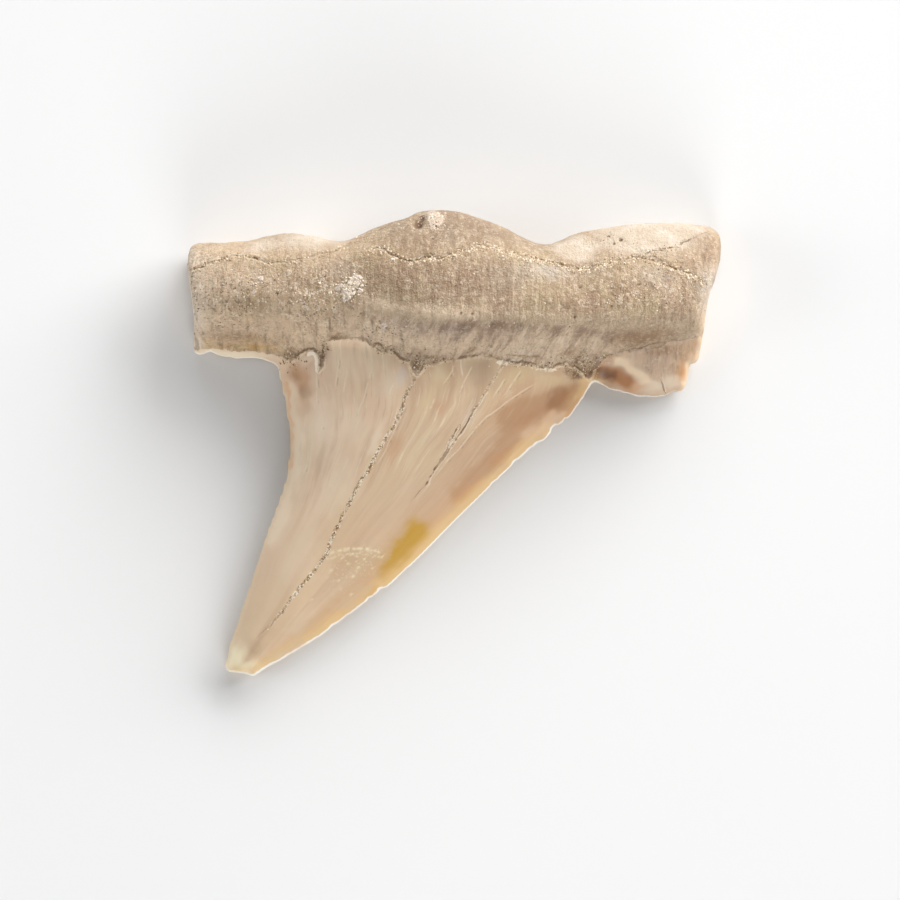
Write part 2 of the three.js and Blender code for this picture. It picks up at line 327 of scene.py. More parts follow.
# Name: route, width, depth, and how open it is from its start (0) to its end (1).
CRACKS = {
    "long": (LONG_CRACK, 0.26, 0.06, [(0, 0.4), (0.1, 0.9), (0.45, 1), (0.8, 1), (0.9, 0.6), (1, 0)]),
    "short": (SHORT_CRACK, 0.14, 0.08, [(0, 0.3), (0.25, 0.5), (0.4, 1), (0.55, 0.9), (0.66, 0.7),
        (0.7, 0.5), (0.75, 1), (0.84, 1), (0.86, 0.1), (0.9, 0.5), (1, 0)]),
    "side": (SIDE_CRACK, 0.1, 0.03, [(0, 0), (0.2, 0.6), (0.8, 0.5), (1, 0)]),
    "fold narrow": (FOLD_NARROW, 0.26, 0.5, [(0, 0.3), (0.03, 1), (0.15, 1), (0.19, 0.3), (0.22, 1),
        (0.33, 1), (0.38, 0.4), (0.6, 0.4), (0.7, 0.2), (0.97, 0.4), (1, 0)]),
    "fold middle": (FOLD_MIDDLE, 0.3, 0.55, [(0, 0), (0.05, 0.6), (0.1, 1), (0.24, 1), (0.3, 0.5),
        (0.45, 0.6), (0.58, 0.8), (0.62, 0.7), (0.7, 0.6), (0.8, 1), (0.93, 0.9), (1, 0)]),
    "fold wide": (FOLD_WIDE, 0.24, 0.3, [(0, 0), (0.2, 0.1), (0.3, 0.9), (0.45, 0.9), (0.52, 0.1),
        (0.6, 0.9), (0.8, 0.6), (0.86, 0.1), (1, 0.5)]),
    "heel": (HEEL_CRACK, 0.12, 0.1, [(0, 0.2), (0.2, 0.2), (0.34, 0.4), (0.55, 0.6), (0.66, 0.3),
        (1, 0.15)]),
    "heel split": ([(88.8, 56.6), (88.9, 54.8), (89.5, 53)], 0.1, 0.1, [(0, 0), (0.4, 0.4), (1, 0.8)]),
}
# How full of sand each of these cracks is from its start to its end; the others are clean.
SANDY = {
    "long": [(0, 1), (0.88, 1), (0.96, 0.3), (1, 0)],
    "short": [(0, 1), (0.3, 1), (0.38, 0.1), (1, 0)],
    "side": [(0, 1), (0.4, 1), (0.5, 0.4), (1, 0.4)],
    "fold narrow": [(0, 1), (0.35, 1), (0.4, 0.5), (1, 0.5)],
    "fold middle": [(0, 1), (0.08, 0.5), (0.36, 0.5), (0.45, 1), (0.62, 0.5), (0.68, 1), (0.8, 0.5),
        (1, 0.4)],
    "fold wide": [(0, 0.25), (1, 0.25)],
}
# Holes in the bone and scars in the enamel: middle, radius and depth.
PITS = [
    ((81.2, 81), 0.34, 0.5), ((80, 80.3), 0.25, 0.35), ((79, 81.8), 0.28, 0.35), ((43.4, 84.1), 0.95, 1.2),
    ((44.2, 85.2), 0.5, 0.6), ((72.5, 66.4), 0.3, 0.4), ((84.6, 72.4), 0.26, 0.35),
    ((77.6, 68.3), 0.24, 0.3), ((17.2, 70.8), 0.34, 0.4), ((73.5, 72), 0.26, 0.35),
    ((79.4, 71.6), 0.24, 0.3), ((53.6, 66.9), 0.3, 0.3), ((51.4, 67), 0.26, 0.3),
]
# A worn place on the crown: small chips below an arc.
SCARS = [
    (29.4, 21.6), (32.3, 19.8), (31.3, 18.2), (28.7, 17.4), (31, 14.8), (27.2, 19.2), (23.6, 13.8),
    (33.6, 21.4), (30.6, 20.6), (35, 19.6),
]
WEAR_ARC = [(26.9, 22.4), (28.6, 23), (31.4, 23.4), (33.6, 23.4), (35.2, 23.1), (36.4, 22.7)]
# White crusts of calcite stuck to the root, as ovals.
CRUSTS = [
    ((31.8, 73), (1.5, 1.2), 1, 50), ((30.6, 71.2), (1.4, 1.3), 1, 20), ((30.2, 70), (1, 0.6)),
    ((29.2, 72), (0.9, 0.6)), ((28.4, 71.6), (0.5, 0.4)), ((32.8, 71.4), (0.5, 0.3)),
    ((46, 85.6), (1.9, 0.9), 1, 5), ((46.8, 84.6), (1.5, 1.4)), ((46.8, 84.2), (1.1, 0.9), 1, 60),
    ((46.2, 83.2), (0.6, 0.8)), ((14.2, 73.6), (0.7, 0.4), 1, 10), ((37, 64.6), (0.7, 0.6)),
    ((13, 71.2), (0.5, 0.4)),
]

skin = skin_over(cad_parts["tooth"])
even_out(skin, EVENING_ROUNDS)
split_finer(skin, facing_of(skin)[:, 2] > FINE_FACING)
even_out(skin, FINE_ROUNDS)
places = to_place(corners_of(skin))
crack_routes = {name: smooth_route(crack[0]) for name, crack in CRACKS.items()}
feature_gap = np.abs(from_route(places, np.array(ENAMEL_LINE))[0])
for route in crack_routes.values():
    feature_gap = np.minimum(feature_gap, np.abs(from_route(places, route)[0]))
split_finer(skin, (feature_gap < FINE_REACH) & (facing_of(skin)[:, 2] > FINE_FACING))
tooth = put_in_scene("tooth_bone_and_enamel", skin)

places = to_place(corners_of(skin))
facing = facing_of(skin)
u, v = places[:, 0], places[:, 1]
upward = step(-0.05, 0.35, facing[:, 2])
ragged = drift(places, 1.3, 0.35, 21)

# How far each place is below the enamel's upper edge, across the crown, and above the root's lines.
line_places = drift(places, 0.9, 0.28, 11)
line_gap = np.abs(from_route(line_places, np.array(ENAMEL_LINE))[0])
inside = np.sign(read_off(ENAMEL_LINE, line_places[:, 0]) - line_places[:, 1]) * line_gap
inside = np.where(facing[:, 2] < -0.1, read_off(UNDER_LINE, u) - v, inside)
enamel = step(-0.15, 0.15, inside)
bone = 1 - enamel
hollow_u, long_u = (np.interp(v, *np.array(edge)[:, ::-1].T) for edge in (HOLLOW_EDGE, LONG_EDGE))
width = long_u - hollow_u
NARROWEST = 1e-9  # so that nothing is divided by 0 beyond the tip, where the two edges meet
across = np.clip((u - hollow_u) / np.maximum(width, NARROWEST), -0.2, 1.2)
on_crown = step(63, 57, v) * step(14, 17, u + 0.35 * (61 - v)) * step(79, 76, u)
above_crest = v - read_off(smooth_route(CREST), u) - 0.35 * waves(places, 2.5, 13, 2)
fold_v = read_off(smooth_route(FOLD_NARROW[:14] + FOLD_MIDDLE[6:]), u)  # one line from end to end
above_fold = v - fold_v + 0.5 * waves(places, 1.8, 14, 2)

# The nearest crack: how far away it is, how open it is there, and what it takes off the surface.
FAR = 9.0  # farther than any place that a crack changes
GAP_REACH = 3.0
nothing = np.zeros(len(u))
crack_gap = np.full(len(u), FAR)
crack_open, crack_depth, crack_sand = nothing, nothing, nothing
for name, (_, crack_width, depth, opening) in CRACKS.items():
    gap, along = from_route(ragged, crack_routes[name])
    open_here = read_off(opening, along) * step(2.4, 1.4, np.abs(gap)) * upward
    crack_gap = np.where(np.abs(gap) < np.abs(crack_gap), gap, crack_gap)
    crack_open = np.maximum(crack_open, open_here)
    crack_sand = np.maximum(crack_sand, open_here * read_off(SANDY.get(name, [(0, 0)]), along))
    uneven = 0.8 + 0.6 * waves(places, 1.1, 30 + len(name), 2)
    crack_depth = np.maximum(crack_depth, depth * bump(gap, crack_width * uneven) * open_here)

# The bone is uneven at every scale and the enamel only slightly.
PEPPERED = [  # where the bone is full of fine pores and grains, as ovals
    ((8, 69.5), (8, 4.5)), ((23, 69.5), (6, 5.5)), ((37, 65), (5, 2.5), 0.6), ((85, 71), (11, 4), 0.4),
    ((1.5, 72), (2, 9), 0.6), ((73, 58), (4, 2), 0.5),
]
peppered = strongest(places, PEPPERED)
lift = 0.25 * bone * waves(places, 7, 41, 3) + 0.05 * enamel * waves(places, (5, 14, 5), 42, 2)
lift += 0.10 * bone * waves(places, 2.2, 49, 2)
lift += 0.05 * bone * waves(places, (0.8, 4.5, 0.8), 43, 2) * step(62, 66, v)
lift += (0.08 + 0.16 * peppered) * bone * waves(places, 0.8, 44, 2)
lift += bone * upward * (0.12 * bump(above_crest - 1.2, 1.2) - 0.08 * step(0.6, -1.4, above_crest))
# Long shallow ripples run down the enamel, from the root to the tip.
ripples = np.stack([across * 30, v / 22, nothing], axis=1)
lift += 0.07 * on_crown * upward * waves(ripples, 1, 45, 3) * step(2, 10, v)
# The enamel stands proud of the bone, with a groove above its broken edge.
grooved = upward * step(17, 20, u) * step(79, 75, u) * (1 - 0.6 * bump(u - 30.5, 3.5))
lift += 0.12 * enamel * upward * on_crown * bump(inside - 0.35, 0.7)
lift -= 0.06 * grooved * bump(inside + 0.25, 0.2) * (0.6 + 0.7 * waves(places, 1.7, 48, 2)).clip(0, 1)
# The long cutting edge is bevelled: a shallow hollow runs beside it.
lift -= 0.15 * on_crown * upward * bump(across - 0.84, 0.09) * step(4, 16, v)
lift -= crack_depth
pitted = nothing
pit_places = drift(places, 0.5, 0.2, 25)
for middle, radius, depth in PITS:
    hole = spot(pit_places, middle, (radius, radius)) * upward
    pitted = np.maximum(pitted, hole)
    lift -= depth * hole
arc_gap = from_route(ragged, smooth_route(WEAR_ARC))[0]
wear = np.maximum(bump(arc_gap, 0.26), 0.7 * bump(arc_gap + 0.9, 0.2))
for middle in SCARS:
    scar = spot(places, middle, (0.3, 0.22), 30)
    wear = np.maximum(wear, scar)
    lift -= 0.12 * scar * upward
crust = strongest(drift(places, 0.9, 0.35, 61), CRUSTS) * upward
lift += 0.2 * step(0.35, 0.6, crust) * (1 + 1.2 * waves(places, 0.45, 63, 2))

places = places + facing * lift[:, None]
for middle, radii, pull in PULLS:
    places[:, :2] += np.outer(spot(places, middle, radii), pull)
# The whole long edge lies a little further in, and is nibbled.
long_gap = from_route(places, np.array(LONG_EDGE))[0]
places[:, :2] += np.outer(bump(long_gap, 3) * step(3, 8, v), (0.24, -0.24))
nibble = random.Random(NIBBLE_SEED)
edge_run = smooth_route(LONG_EDGE, 3)
bites = []
for _ in range(NIBBLES):
    on_edge = edge_run[nibble.randrange(2, len(edge_run) - 4)]
    middle = on_edge + (nibble.uniform(0, 0.6), nibble.uniform(-0.6, 0))
    radius, depth = nibble.uniform(0.2, 0.5), nibble.uniform(0, 0.25)
    bites.append((middle, radius, (-0.6 * depth, depth)))
for middle, radius, pull in bites + NOTCHES:
    places[:, :2] += np.outer(spot(places, middle, (radius, radius)), pull)
places[:, 2] = np.maximum(places[:, 2], 0)
skin.vertices.foreach_set("co", from_place(places).ravel())
skin.update()
for face in skin.polygons:
    face.use_smooth = True

# How far each place is, seen from above, from the enamel's thin outer edges, and what is steep beyond them.
RIM_REACH = 6.0  # how far in from an edge its distance is still told
STEEP_FACING = 0.3
WALL_ROUNDS = 2
steep = np.abs(facing_of(skin)[:, 2]) < STEEP_FACING
rim_places = places[steep & (inside > 0) & (pitted < 0.1)]
rim_tree = KDTree(len(rim_places))
for index, place in enumerate(rim_places):
    rim_tree.insert((*place[:2], 0), index)
rim_tree.balance()
rim_gap = np.full(len(u), RIM_REACH)
for index in np.flatnonzero(inside > 0):
    rim_gap[index] = min(rim_tree.find((*places[index, :2], 0))[2], RIM_REACH)
wall = step(STEEP_FACING, 0, facing_of(skin)[:, 2])
ends = edges_of(skin)
for _ in range(WALL_ROUNDS):
    rim_gap, wall = ((values + beside(ends, values)) / 2 for values in (rim_gap, wall))

# Fine pale flaws, each a line of tiny chips running down the enamel.
PALE_LINES = [
    [(66.2, 54.6), (63, 52.8), (60.4, 51), (57.8, 48.9), (55.1, 47), (51.2, 42), (48.4, 39.2), (46.2, 36.4)],
    [(24.4, 56.4), (24.6, 53), (24.6, 49.9)], [(28.6, 58.7), (28.4, 56), (28, 53.1)],
    [(34.9, 56.8), (33.8, 53), (33, 50.3), (31.4, 46.4)], [(39.1, 54.6), (38.1, 51.8)],
    [(25.9, 47), (25.4, 45)], [(22.7, 39.1), (22, 37)], [(46.5, 51.2), (45.6, 49.3)],
    [(50.3, 57.8), (49.4, 55.6), (47.9, 53.6)], [(59.6, 55), (58.6, 53.4), (57.2, 51.2)],
    [(62.8, 56.8), (61.2, 54.4), (59.6, 52.1)], [(30.4, 57), (29.4, 52)],
    [(41.4, 50.4), (38, 43), (35.4, 38)], [(53.6, 57.6), (52, 54.4), (50.8, 51.6)],
]
# Hair cracks in the neck's bone and in the wide heel.
DARK_LINES = [
    [(14.8, 67.6), (15, 64), (14.9, 60.8)], [(17.2, 65.8), (18.6, 63), (19.6, 61.2)],
    [(26.9, 68.4), (27.1, 65), (27, 62.8)], [(40.2, 64.2), (40.6, 61.6), (40.9, 59.6)],
    [(57.4, 62.4), (57.1, 60.6)], [(85.8, 61), (86.4, 59.6)], [(88.9, 60.6), (88.3, 59)],
    [(86.6, 57), (87.4, 55.4)], [(91.6, 60.2), (91.8, 58.4)], [(80, 64), (79.4, 61)],
    [(24.4, 66), (24.6, 62.4)], [(34.8, 66.4), (35.2, 63)],
]
HAIR_WIDTH = 0.14
pale_gap = np.full(len(u), FAR)
pale_open, dark_line = nothing, nothing
flaw_places = drift(places, 1.6, 0.16, 71)
for route in PALE_LINES:
    gap, along = from_route(flaw_places, smooth_route(route, 1))
    pale_gap = np.where(np.abs(gap) < np.abs(pale_gap), gap, pale_gap)
    here = step(0, 0.12, along) * step(1, 0.8, along) * step(1.8, 1.2, np.abs(gap)) * upward
    pale_open = np.maximum(pale_open, here)
for route in DARK_LINES:
    gap, along = from_route(flaw_places, smooth_route(route, 1))
    here = step(0, 0.2, along) * step(1, 0.8, along) * upward
    dark_line = np.maximum(dark_line, bump(gap, HAIR_WIDTH) * here)

# Stains and patches, each a set of ovals; some of them are painted light or shade, as told where they are
# laid on.
PATCHES = {
    "cream": [((24, 80.8), (8, 2.4), 0.56, 3), ((15, 79.8), (5, 1.5), 0.5, 8), ((73, 79.4), (4, 2), 1.1),
        ((86, 82), (9.5, 4)), ((92, 83), (6, 2), 0.8)],
    "narrow end": [((9, 72), (10, 7)), ((24, 73), (8, 6), 0.4)],
    "light neck": [((8, 66.4), (9, 2)), ((23, 66), (6, 3.4)), ((32, 66.6), (4, 2), 0.7),
        ((97.4, 66), (2, 3.4), 0.8), ((55, 62.6), (8, 2.4), 0.4), ((51, 64.2), (4, 1.6), 0.5),
        ((28.6, 65.4), (3, 2), 0.5)],
    "dusk": [((10, 62.8), (9, 1.1), 1, -3), ((13, 69), (3, 2), 0.5), ((85, 62.6), (7, 1.8), 1.2, 6),
        ((68, 63.8), (8, 1.2), 0.4, -3), ((73, 59.4), (3, 1.6), 0.6), ((28.6, 62.8), (2.4, 0.7))],
    "brown bone": [((81.6, 70.4), (3.4, 2.6), 0.9), ((76, 70), (3, 2), 0.5), ((22, 73.4), (8, 1.4), 0.5),
        ((96.6, 79.4), (2.6, 2.6)), ((45, 69.2), (3, 1.2), 0.7), ((52, 73.6), (4, 3), 0.6),
        ((44, 72), (6, 4), 0.3), ((71, 70), (5, 2), 0.5)],
    "silver": [((67, 75), (7, 1.7), 1, -4), ((60, 74), (4, 2.4), 0.5), ((97, 73), (2, 2.4), 0.8),
        ((88, 74), (4, 2), 0.5), ((76, 76), (3, 1.4), 0.6)],
    "grey hump": [((49.4, 82), (3.4, 3.4)), ((40, 83), (8, 3), 0.6, 8), ((22, 81.6), (8, 1.6), 0.65),
        ((56, 82.6), (5, 2.4), 0.9, -16), ((64, 80.6), (6, 1.6), 0.9, -14), ((79.6, 81), (4, 1.8), 0.6),
        ((17, 81.2), (5, 1.2), 0.5), ((68.6, 81), (2, 1.2))],
    "olive bone": [((12, 69), (3.4, 2.6), 0.8), ((17, 76), (4, 1.6), 0.6), ((64, 77), (6, 2), 0.6),
        ((70, 72), (5, 3), 0.4), ((34, 80), (4, 2), 0.4, 30)],
    "lilac": [((50, 63.8), (3.6, 1.6)), ((58, 63.4), (5, 1.6), 0.5), ((42, 64.4), (4, 1.4), 0.5),
        ((29, 75), (2.4, 1.6), 0.7, 30), ((22, 66), (3, 2), 0.4)],
    "smooth neck": [((21.4, 64), (2.4, 2.6)), ((16.4, 63.6), (1.8, 1.8), 0.7),
        ((26.6, 64.4), (1.6, 2.2), 0.6)],
    "ochre": [((9, 61), (8, 1.1), 0.6), ((14, 60.8), (4, 0.9), 1, -6), ((3.4, 61.4), (2, 1.6), 0.8)],
    "mud": [((19.2, 59.6), (2.3, 1.5)), ((26.3, 60), (0.8, 2.4), 0.9), ((36.8, 60.9), (2.0, 0.8), 0.9, -25),
        ((39.8, 59.6), (1.6, 0.9), 0.7, -30), ((43.2, 57.6), (1.0, 2.2), 0.9), ((46, 59), (5, 0.8), 0.7, 2),
        ((53.4, 60.4), (1.8, 0.8), 0.8, 30), ((73.4, 56.8), (3.4, 2.4), 1.1, 10),
        ((79, 59.3), (2.6, 0.8), 0.9, 4), ((28, 62.9), (1.8, 0.7), 0.7), ((64, 58.8), (7, 0.5), 0.8, -8),
        ((57, 60), (3, 0.6), 0.5, 20)],
    "worn": [((31.6, 21), (4.4, 2.6), 1, 20), ((29, 18), (3, 3), 0.6, 30)],
    "tip": [((8.6, 1.8), (3, 4), 1.1), ((12, 0.8), (4, 1.6))],
    "smear": [((12.8, 5), (2, 1.7), 1, -35), ((14.6, 7.4), (1, 1.6), 0.5, -40)],
    "middle": [((46, 82), (11, 7)), ((47, 74), (14, 5))],
    "narrow rim": [((1.2, 68), (3, 8)), ((1.5, 77), (2, 3), 0.6), ((1.8, 61.6), (1.4, 1.4), 1.2)],
    "gold": [((41, 19.4), (3.6, 1.8), 1, 48), ((35.6, 14.8), (5, 1.7), 1, 38),
        ((28, 9.6), (5, 1.3), 0.7, 32), ((45, 25), (2.4, 1.6), 0.8, 50)],
    "shoulder": [((21.4, 55), (2.6, 3.4), 1, 6), ((21.4, 50.6), (2.3, 3.4), 0.8, 4)],
    "dark shoulder": [((22.2, 52.8), (1.4, 2)), ((20.6, 55.6), (1.2, 1.6), 0.7),
        ((23, 49.8), (1, 1.4), 0.5)],
    "orange": [((59.4, 40.6), (3.4, 1.2), 1, 43), ((54, 34.6), (6, 1.4), 0.6, 45), ((19.9, 44), (0.8, 6)),
        ((71.4, 48.8), (1.5, 1.5), 1.2, 50), ((95.4, 61.6), (1.6, 2.4), 0.4, -15),
        ((83.6, 54), (3, 1.1), 1.1, -16), ((93, 56.2), (1.4, 2.4), 0.9), ((35.6, 14.6), (5, 1.4), 0.8, 38),
        ((41, 20), (4, 1), 0.7, 45)],
    "rosy": [((89, 60.4), (6, 2.2)), ((88, 58), (3, 2.2), 1, -20), ((91, 57), (1.6, 2), 0.7)],
    "grey": [((40.2, 55.4), (1.4, 2.4), 0.8, -14), ((37.6, 54), (1.4, 3), 0.5, -10),
        ((53, 47.6), (1.6, 3), 0.4, -30)],
    "dove": [((55.6, 56), (3.2, 3.4), 1, -20), ((73, 54.2), (2.4, 1.6), 0.9),
        ((54, 51), (1.6, 3), 0.6, -28)],
    "tan": [((38.8, 42.5), (2, 3.4), 0.7, -25), ((47.6, 50), (1.3, 2.2), 0.6, -25),
        ((51.4, 43), (1.8, 3.4), 0.4, -30), ((30.4, 43), (1.6, 5), 0.5, -12),
        ((32.6, 56.4), (1.4, 2.6), 0.6, -6), ((31, 41), (1.4, 2), 0.5)],
    "olive": [((47.4, 56), (2, 3), 1, -15), ((45.4, 51.4), (1.4, 4.4), 0.8, -22),
        ((28.6, 50), (1, 5), 0.6, -10), ((62, 55.6), (3.4, 1.8), 1, 20), ((69, 54.4), (3.6, 1.2), 1, -8),
        ((46, 40), (3, 6), 0.5, -30), ((21, 27), (3, 8), 0.4, -15)],
    "pale": [((29, 35), (3.4, 9), 0.6, -20), ((35.6, 43.6), (0.9, 4.5), 1, -25),
        ((22, 22), (4, 9), 0.5, -22), ((24.6, 46), (3, 6), 0.6), ((18, 30), (2.4, 7), 0.5, -14),
        ((20.6, 42), (1.6, 7)), ((23.6, 55), (1.2, 3), 0.6), ((10, 16), (1.2, 9), 0.6, -14),
        ((86.4, 53.6), (3, 1.3), 1.3, -10), ((91.6, 54.6), (3, 1.4), 1.1, 8), ((8, 59.4), (9, 1.3), 0.9),
        ((47.4, 56.2), (1.8, 2), 0.5)],
    "crown top": [((32.6, 58), (6, 4)), ((38, 54), (4, 5), 0.8, -15), ((25, 47), (5, 8), 0.8),
        ((32, 45), (5, 5), 0.7)],
    "heel light": [((8, 59.6), (10, 1.5)), ((4, 61), (4, 2), 0.8)],
    "shade": [((58, 73.4), (4.4, 3.6), 1.2), ((78, 74), (4, 3.4), 0.7), ((59, 64.8), (8, 1.2), 0.8),
        ((56, 83), (7, 2), 0.7, -16), ((62.4, 68), (5, 1.8), 0.8), ((70, 68), (6, 1.8), 0.9)],
    "bright crest": [((48, 67.4), (8, 2.4), 1.1), ((36.6, 69.4), (5, 1.5), 1.2, -20)],
    "tongue": [((22.8, 58.7), (1.4, 1.3))],
    "wide rim": [((97.6, 71.6), (1.8, 4.4))],
    "flushed": [((36, 52), (2, 5), 0.5, -14), ((36.4, 45.6), (0.9, 2), 0.7, -20),
        ((30.4, 38), (1.6, 4), 0.5, -16)],
}
# Patches that follow a route: the route, the half width and the strength.
STROKES = {
    "highlight": ([(81, 58), (82.8, 57.7), (84.2, 56.4), (85.8, 54.8)], 0.95, 0.95),
    "deep brown": ([(72, 56), (74.4, 56.4), (76.6, 56.6), (78.4, 56.2), (79.8, 55.8)], 1.3, 0.95),
    "heel brown": ([(76, 57.2), (79, 56.4), (81.2, 55.6), (82.6, 54.8)], 1.4, 1),
    "brown": ([(68.8, 50.6), (70.2, 51.8), (72, 52), (73.4, 53)], 1.8, 0.85),
    "umber": ([(72.6, 51.6), (68.4, 50.6), (64.6, 49.8), (60, 47.6)], 2.7, 1),
    "dull": ([(71, 49.2), (66, 48), (61.8, 45), (56.6, 39.4), (51, 33.6)], 2.3, 1),
    "amber": ([(43.4, 26.4), (41.6, 23.8), (39.6, 21.4), (38.4, 18.8)], 2.7, 1),
    "tongue lip": ([(22.8, 59.7), (23.8, 59.7), (24.4, 58.9), (24.6, 57.6), (24.8, 56.6)], 0.52, 1.1),
    "flakes": ([(58.6, 58.2), (61, 57.9), (63.8, 57.5), (66.4, 56.9), (69, 56.8)], 0.45, 1),
    "edge glow": ([(18.4, 54), (19.4, 50), (19.8, 46), (19.7, 42), (19.2, 38.6)], 0.42, 0.9),
    "edge light": ([(64, 44.4), (67, 46.4), (69.6, 48.2)], 1.5, 0.8),
    "hollow light": ([(19.4, 53), (20.4, 48), (20.7, 43.5), (20, 38), (18.4, 32), (16, 25)], 1.7, 1),
}
patch_places = drift(places, 2.2, 0.8, 81)
patches = {name: strongest(patch_places, ovals) for name, ovals in PATCHES.items()}
for name, (route, half_width, strength) in STROKES.items():
    patches[name] = strength * bump(from_route(patch_places, smooth_route(route))[0], half_width)
# How much the neck's streaks slant, from the narrow end to the wide one.
SLANTED = [(0, 0.15), (20, 0.2), (34, 0.25), (40, 0.6), (48, 1), (76, 1), (84, 0.6), (100, 0.3)]
# How strong the painted highlight on the enamel's broken upper lip is, where its raised edge faces the
# light.
LIP_HIGHLIGHT = [
    (17, 0.1), (21, 0.9), (25, 1), (26.4, 0.3), (36, 0.3), (39, 0.5), (42, 0.9), (47, 1), (50, 0.5),
    (57, 0.3), (60, 0.8), (67, 1), (71, 0.9), (75, 0.6), (78, 0),
]

# What the surface is at each point, for its finish.
narrow_heel = step(19, 16, u) * step(50, 54, v)
long_side = step(0.3, 0.6, across)
less_yellow = spot(places, (69, 48), (5, 3), 40)
masks = {
    "inside": np.clip(inside, -RIM_REACH, RIM_REACH),
    "crack_gap": np.clip(crack_gap, -GAP_REACH, GAP_REACH),
    "crack_open": crack_open,
    "crack_sand": crack_sand,
    "pale_gap": np.clip(pale_gap, -GAP_REACH, GAP_REACH),
    "pale_open": pale_open,
    "across": np.clip(across, 0, 1),
    "down": v / 100,
    "rim": rim_gap,
    "wall": wall,
    "white rim": np.maximum.reduce([long_side, narrow_heel, step(2.4, 1.2, v)]) * step(93, 88, u),
    "yellow rim": np.maximum(on_crown * long_side, step(3, 1, v)) * (1 - 0.7 * less_yellow),
    "lip": read_off(LIP_HIGHLIGHT, u) * upward,
    "grooved": grooved,
    "slanted": read_off(SLANTED, u),
    "above_crest": np.clip(above_crest, -8, 12),
    "above_fold": np.clip(above_fold, -8, 12),
    "peppered": peppered,
    "pitted": pitted,
    "crust": crust,
    "wear": wear * upward,
    "dark_line": dark_line,
    **patches,
}
masks["cream"] = masks["cream"] * step(-0.2, 0.8, above_fold)
for name, values in masks.items():
    store(skin, name, values)

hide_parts("tooth")
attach(tooth, "root")

# Its finish: the enamel is a satin glaze, streaked lengthways and stained by the sediment, with painted
# highlights and glow at its lip and edges. The bone is matt, finely fibrous and porous, with a painted
# highlight and painted shade about its crest. A dark line runs in the groove above the enamel.


def tone(code):
    """A linear colour from a six-digit colour code."""
    parts = [int(code[i : i + 2], 16) / 255 for i in (0, 2, 4)]
    return tuple(c / 12.92 if c <= 0.04045 else ((c + 0.055) / 1.055) ** 2.4 for c in parts) + (1.0,)


class Wire:
    """One output of a shader node. Arithmetic on wires adds Math nodes; node() adds any other node."""

    def __init__(self, tree, socket=None):
        self.tree = tree
        self.socket = socket

    def node(self, kind, settings=None, inputs=None, output=0):
        made = self.tree.nodes.new(kind)
        for name, value in (settings or {}).items():
            if name == "stops":
                for extra in value[2:]:
                    made.color_ramp.elements.new(extra[0])
                for element, (position, colour) in zip(made.color_ramp.elements, value):
                    element.position = position
                    element.color = colour
            else:
                setattr(made, name, value)
        for name, value in (inputs or {}).items():
            if isinstance(value, Wire):
                self.tree.links.new(value.socket, made.inputs[name])
            else:
                made.inputs[name].default_value = value
        return Wire(self.tree, made.outputs[output] if made.outputs else None)

    def maths(self, operation, *values):
        return self.node("ShaderNodeMath", {"operation": operation}, dict(enumerate(values)))

    def __add__(self, other):
        return self.maths("ADD", self, other)

    def __sub__(self, other):
        return self.maths("SUBTRACT", self, other)

    def __rsub__(self, other):
        return self.maths("SUBTRACT", other, self)

    def __mul__(self, other):
        return self.maths("MULTIPLY", self, other)

    def __abs__(self):
        return self.maths("ABSOLUTE", self)

    __radd__ = __add__
    __rmul__ = __mul__

    def between(self, start, end):
        """0 below start and 1 above end; start may be the larger."""
        return self.node("ShaderNodeMapRange", {"interpolation_type": "SMOOTHSTEP"},
                         {"Value": self, "From Min": start, "From Max": end})

    def mask(self, name):
        return self.node("ShaderNodeAttribute", {"attribute_name": name}, output="Fac")

    def mix(self, amount, first, second, how="MIX"):
        """Two colours, each a wire or a colour code, mixed by an amount."""
        first, second = (tone(colour) if isinstance(colour, str) else colour for colour in (first, second))
        inputs = {"Factor": amount, 6: first, 7: second}
        return self.node("ShaderNodeMix", {"data_type": "RGBA", "blend_type": how}, inputs, output=2)

    def over(self, base, layers):
        """A base colour with layers laid over it in turn, each an amount and a colour."""
        for amount, colour in layers:
            base = self.mix(amount, base, colour)
        return base

    def stretch(self, scale, turn=0.0):
        """Object coordinates in millimetres, turned about Z and then scaled along each axis."""
        here = self.node("ShaderNodeTexCoord", output="Object")
        turned = self.node("ShaderNodeMapping", {"vector_type": "POINT"},
                           {"Vector": here, "Rotation": (0, 0, math.radians(turn))})
        return self.node("ShaderNodeMapping", {"vector_type": "POINT"},
                         {"Vector": turned, "Scale": tuple(1000 * s for s in scale)})

    def grain(self, vector, scale=1.0, detail=3.0, roughness=0.6):
        """Soft noise from 0 to 1 on a vector."""
        return self.node("ShaderNodeTexNoise", {"noise_dimensions": "3D"},
                         {"Vector": vector, "Scale": scale, "Detail": detail, "Roughness": roughness})

    def crumbs(self, vector, scale):
        """A random value from 0 to 1 for each small angular cell of a vector."""
        inputs = {"Vector": vector, "Scale": scale}
        cells = self.node("ShaderNodeTexVoronoi", {"feature": "F1"}, inputs, "Color")
        return self.node("ShaderNodeSeparateColor", inputs={"Color": cells})

    def flow(self, across, down, spread, length, seed):
        """Noise drawn out along the crown, from spread widths across and length heights down."""
        inputs = {"X": across * spread, "Y": down * length, "Z": seed}
        return self.grain(self.node("ShaderNodeCombineXYZ", inputs=inputs))

    def finish_with(self, inputs):
        """Ends a finish with one shader that has these inputs."""
        shader = self.node("ShaderNodeBsdfPrincipled", inputs=inputs)
        self.node("ShaderNodeOutputMaterial", inputs={"Surface": shader})


def new_finish(name):
    """An empty node tree for a finish, and the wire to build it with."""
    finish = bpy.data.materials.new(name)
    finish.use_nodes = True
    finish.node_tree.nodes.clear()
    return finish, Wire(finish.node_tree)


